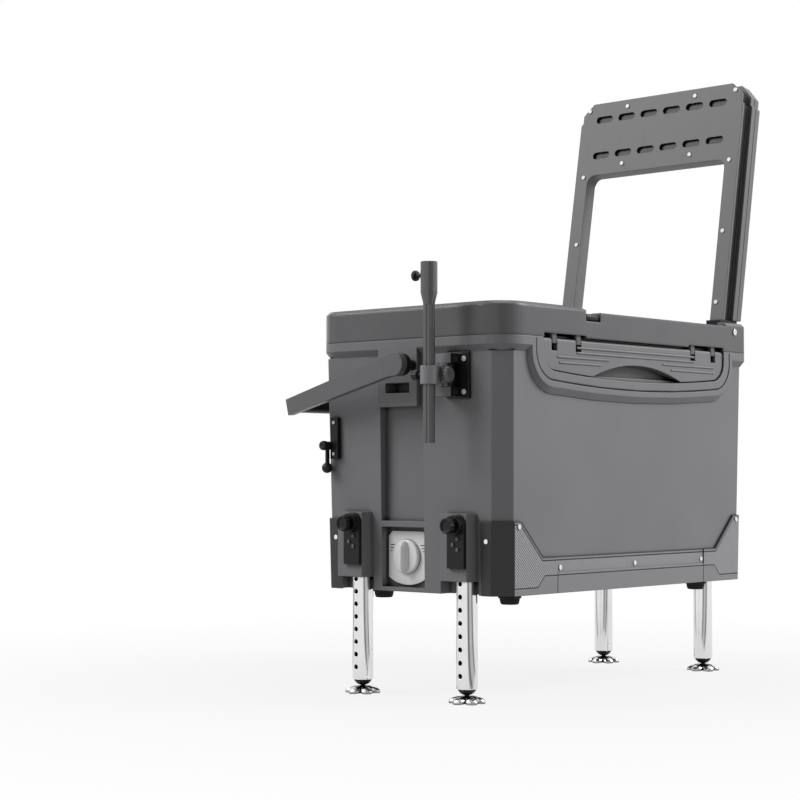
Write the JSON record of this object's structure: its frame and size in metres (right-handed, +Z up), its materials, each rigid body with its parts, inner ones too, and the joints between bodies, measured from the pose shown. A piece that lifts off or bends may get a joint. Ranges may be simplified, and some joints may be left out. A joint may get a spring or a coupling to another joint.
{
  "type": "fishing seat box",
  "caption": "Insulated seat box on extending legs with claw feet, a lift-up lid, a fold-down backrest frame, a carrying bail and a clamped accessory pole.",
  "frame": {"origin": "on the floor under the middle of the whole object at rest", "axes": "+X from the drain end to the backrest end, +Y from the front long side to the rear, +Z up"},
  "size_m": [0.6222, 0.3331, 0.7893],
  "materials": {
    "shell_plastic": "mid grey moulded plastic with a fine grain, slightly cool",
    "lid_plastic": "dark grey moulded plastic with a soft sheen on the rounded corners",
    "plate_plastic": "grey moulded plastic, fine grain",
    "insulation_foam": "foamed in place insulation, hidden",
    "white_plastic": "smooth white plastic",
    "rubber_black": "matt black rubber",
    "chrome_steel": "bright plated steel",
    "screw_white": "bright white screw heads",
    "black_plastic": "black glass filled plastic"
  },
  "bodies": {
    "case": {"outer_shell": "shell_plastic", "foam_core": "insulation_foam", "inner_liner": "white_plastic", "corner_guards": "plate_plastic", "trim_strips": "plate_plastic", "guard_screws": "chrome_steel", "rubber_feet": "rubber_black", "leg_sleeves": "black_plastic", "lock_housings": "black_plastic", "fixing_screws": "chrome_steel", "drain_plate": "white_plastic", "drain_bush": "black_plastic", "bail_hubs": "black_plastic", "bail_pivot_pins": "chrome_steel", "lid_hinge_brackets": "black_plastic", "bracket_base": "black_plastic", "bracket_clevis_pin": "chrome_steel", "rear_bracket_plate": "black_plastic"},
    "lid": {"lid_shell": "lid_plastic", "lid_liner": "white_plastic", "lid_gasket": "rubber_black", "lid_hinge_leaves": "black_plastic", "lid_hinge_pins": "chrome_steel", "latch_hinge_pins": "chrome_steel", "seat_mat": "rubber_black", "backrest_pivot_screws": "chrome_steel"},
    "latch": {"latch_flap": "shell_plastic"},
    "catch": {"backrest_catch": "black_plastic"},
    "backrest": {"backrest_front_plate": "plate_plastic", "backrest_core": "black_plastic", "backrest_rear_shell": "plate_plastic", "backrest_screws": "screw_white", "backrest_lugs": "black_plastic"},
    "bail": {"bail_arm_left": "black_plastic", "bail_arm_right": "black_plastic", "bail_crossbar": "black_plastic"},
    "leg_fl": {"leg_tube_fl": "chrome_steel", "leg_cap_fl": "black_plastic"},
    "claw_fl": {"claw_foot_fl": "chrome_steel"},
    "lock_fl": {"lock_pin_fl": "black_plastic"},
    "leg_bl": {"leg_tube_bl": "chrome_steel", "leg_cap_bl": "black_plastic"},
    "claw_bl": {"claw_foot_bl": "chrome_steel"},
    "lock_bl": {"lock_pin_bl": "black_plastic"},
    "leg_fr": {"leg_tube_fr": "chrome_steel", "leg_cap_fr": "black_plastic"},
    "claw_fr": {"claw_foot_fr": "chrome_steel"},
    "lock_fr": {"lock_pin_fr": "black_plastic"},
    "leg_br": {"leg_tube_br": "chrome_steel", "leg_cap_br": "black_plastic"},
    "claw_br": {"claw_foot_br": "chrome_steel"},
    "lock_br": {"lock_pin_br": "black_plastic"},
    "drain": {"drain_knob": "white_plastic"},
    "swivel": {"bracket_swivel": "black_plastic"},
    "swivel_cap": {"swivel_knob": "black_plastic"},
    "clamp_screw": {"pole_clamp_screw": "black_plastic"},
    "pole": {"holder_pole": "black_plastic"},
    "thumb_screw": {"pole_thumb_screw": "black_plastic"},
    "rear_arm": {"rear_bracket_arm": "black_plastic"},
    "rear_knob": {"rear_bracket_knob": "black_plastic"}
  },
  "joints": [
    {"name": "lid_hinge", "type": "hinge", "parent": "case", "child": "lid", "pos_m": [-0.0107, 0.13985, 0.42], "axis": [-1, 0, 0], "range_deg": [0, 85]},
    {"name": "bail_swing", "type": "hinge", "parent": "case", "child": "bail", "pos_m": [-0.0107, -0.02665, 0.389], "axis": [-1, 0, 0], "range_deg": [-38, 0]},
    {"name": "backrest_fold", "type": "hinge", "parent": "lid", "child": "backrest", "pos_m": [0.2153, -0.01515, 0.447], "axis": [0, -1, 0], "range_deg": [0, 100.2]},
    {"name": "latch_lift", "type": "hinge", "parent": "lid", "child": "latch", "pos_m": [-0.0027, -0.15995, 0.4163], "axis": [-1, 0, 0], "range_deg": [0, 75]},
    {"name": "catch_press", "type": "slide", "parent": "lid", "child": "catch", "axis": [0, 1, 0], "range_m": [0, 0.003], "stiffness_N_per_m": 250},
    {"name": "leg_slide_fl", "type": "slide", "parent": "case", "child": "leg_fl", "axis": [0, 0, -1], "range_m": [0, 0.045]},
    {"name": "claw_tilt_fl", "type": "hinge", "parent": "leg_fl", "child": "claw_fl", "pos_m": [-0.2567, -0.10115, 0.0124], "axis": [1, 0, 0], "range_deg": [-8, 8]},
    {"name": "lock_pull_fl", "type": "slide", "parent": "case", "child": "lock_fl", "axis": [-1, 0, 0], "range_m": [0, 0.008], "stiffness_N_per_m": 250},
    {"name": "leg_slide_bl", "type": "slide", "parent": "case", "child": "leg_bl", "axis": [0, 0, -1], "range_m": [0, 0.045]},
    {"name": "claw_tilt_bl", "type": "hinge", "parent": "leg_bl", "child": "claw_bl", "pos_m": [-0.2567, 0.06085, 0.0124], "axis": [1, 0, 0], "range_deg": [-8, 8]},
    {"name": "lock_pull_bl", "type": "slide", "parent": "case", "child": "lock_bl", "axis": [-1, 0, 0], "range_m": [0, 0.008], "stiffness_N_per_m": 250},
    {"name": "leg_slide_fr", "type": "slide", "parent": "case", "child": "leg_fr", "axis": [0, 0, -1], "range_m": [0, 0.045]},
    {"name": "claw_tilt_fr", "type": "hinge", "parent": "leg_fr", "child": "claw_fr", "pos_m": [0.2353, -0.10115, 0.0124], "axis": [1, 0, 0], "range_deg": [-8, 8]},
    {"name": "lock_pull_fr", "type": "slide", "parent": "case", "child": "lock_fr", "axis": [1, 0, 0], "range_m": [0, 0.008], "stiffness_N_per_m": 250},
    {"name": "leg_slide_br", "type": "slide", "parent": "case", "child": "leg_br", "axis": [0, 0, -1], "range_m": [0, 0.045]},
    {"name": "claw_tilt_br", "type": "hinge", "parent": "leg_br", "child": "claw_br", "pos_m": [0.2353, 0.06085, 0.0124], "axis": [1, 0, 0], "range_deg": [-8, 8]},
    {"name": "lock_pull_br", "type": "slide", "parent": "case", "child": "lock_br", "axis": [1, 0, 0], "range_m": [0, 0.008], "stiffness_N_per_m": 250},
    {"name": "drain_turn", "type": "hinge", "parent": "case", "child": "drain", "pos_m": [-0.2469, -0.00215, 0.164], "axis": [-1, 0, 0], "range_deg": [0, 90]},
    {"name": "swivel_turn", "type": "hinge", "parent": "case", "child": "swivel", "pos_m": [-0.2747, -0.08715, 0.375], "axis": [0, 0, 1], "range_deg": [-10, 40]},
    {"name": "swivel_cap_turn", "type": "hinge", "parent": "swivel", "child": "swivel_cap", "pos_m": [-0.2857, -0.08715, 0.375], "axis": [0, 1, 0], "continuous": true},
    {"name": "clamp_screw_turn", "type": "hinge", "parent": "swivel", "child": "clamp_screw", "pos_m": [-0.3007, -0.08215, 0.375], "axis": [0, 1, 0], "continuous": true},
    {"name": "pole_slide", "type": "slide", "parent": "swivel", "child": "pole", "axis": [0, 0, 1], "range_m": [-0.06, 0.06]},
    {"name": "thumb_screw_turn", "type": "hinge", "parent": "pole", "child": "thumb_screw", "pos_m": [-0.3007, -0.08215, 0.489], "axis": [0, 1, 0], "continuous": true},
    {"name": "rear_arm_swing", "type": "hinge", "parent": "case", "child": "rear_arm", "pos_m": [-0.26451, 0.10985, 0.296], "axis": [1, 0, 0], "range_deg": [-15, 15]},
    {"name": "rear_knob_turn", "type": "hinge", "parent": "case", "child": "rear_knob", "pos_m": [-0.26451, 0.10985, 0.296], "axis": [1, 0, 0], "continuous": true}
  ]
}
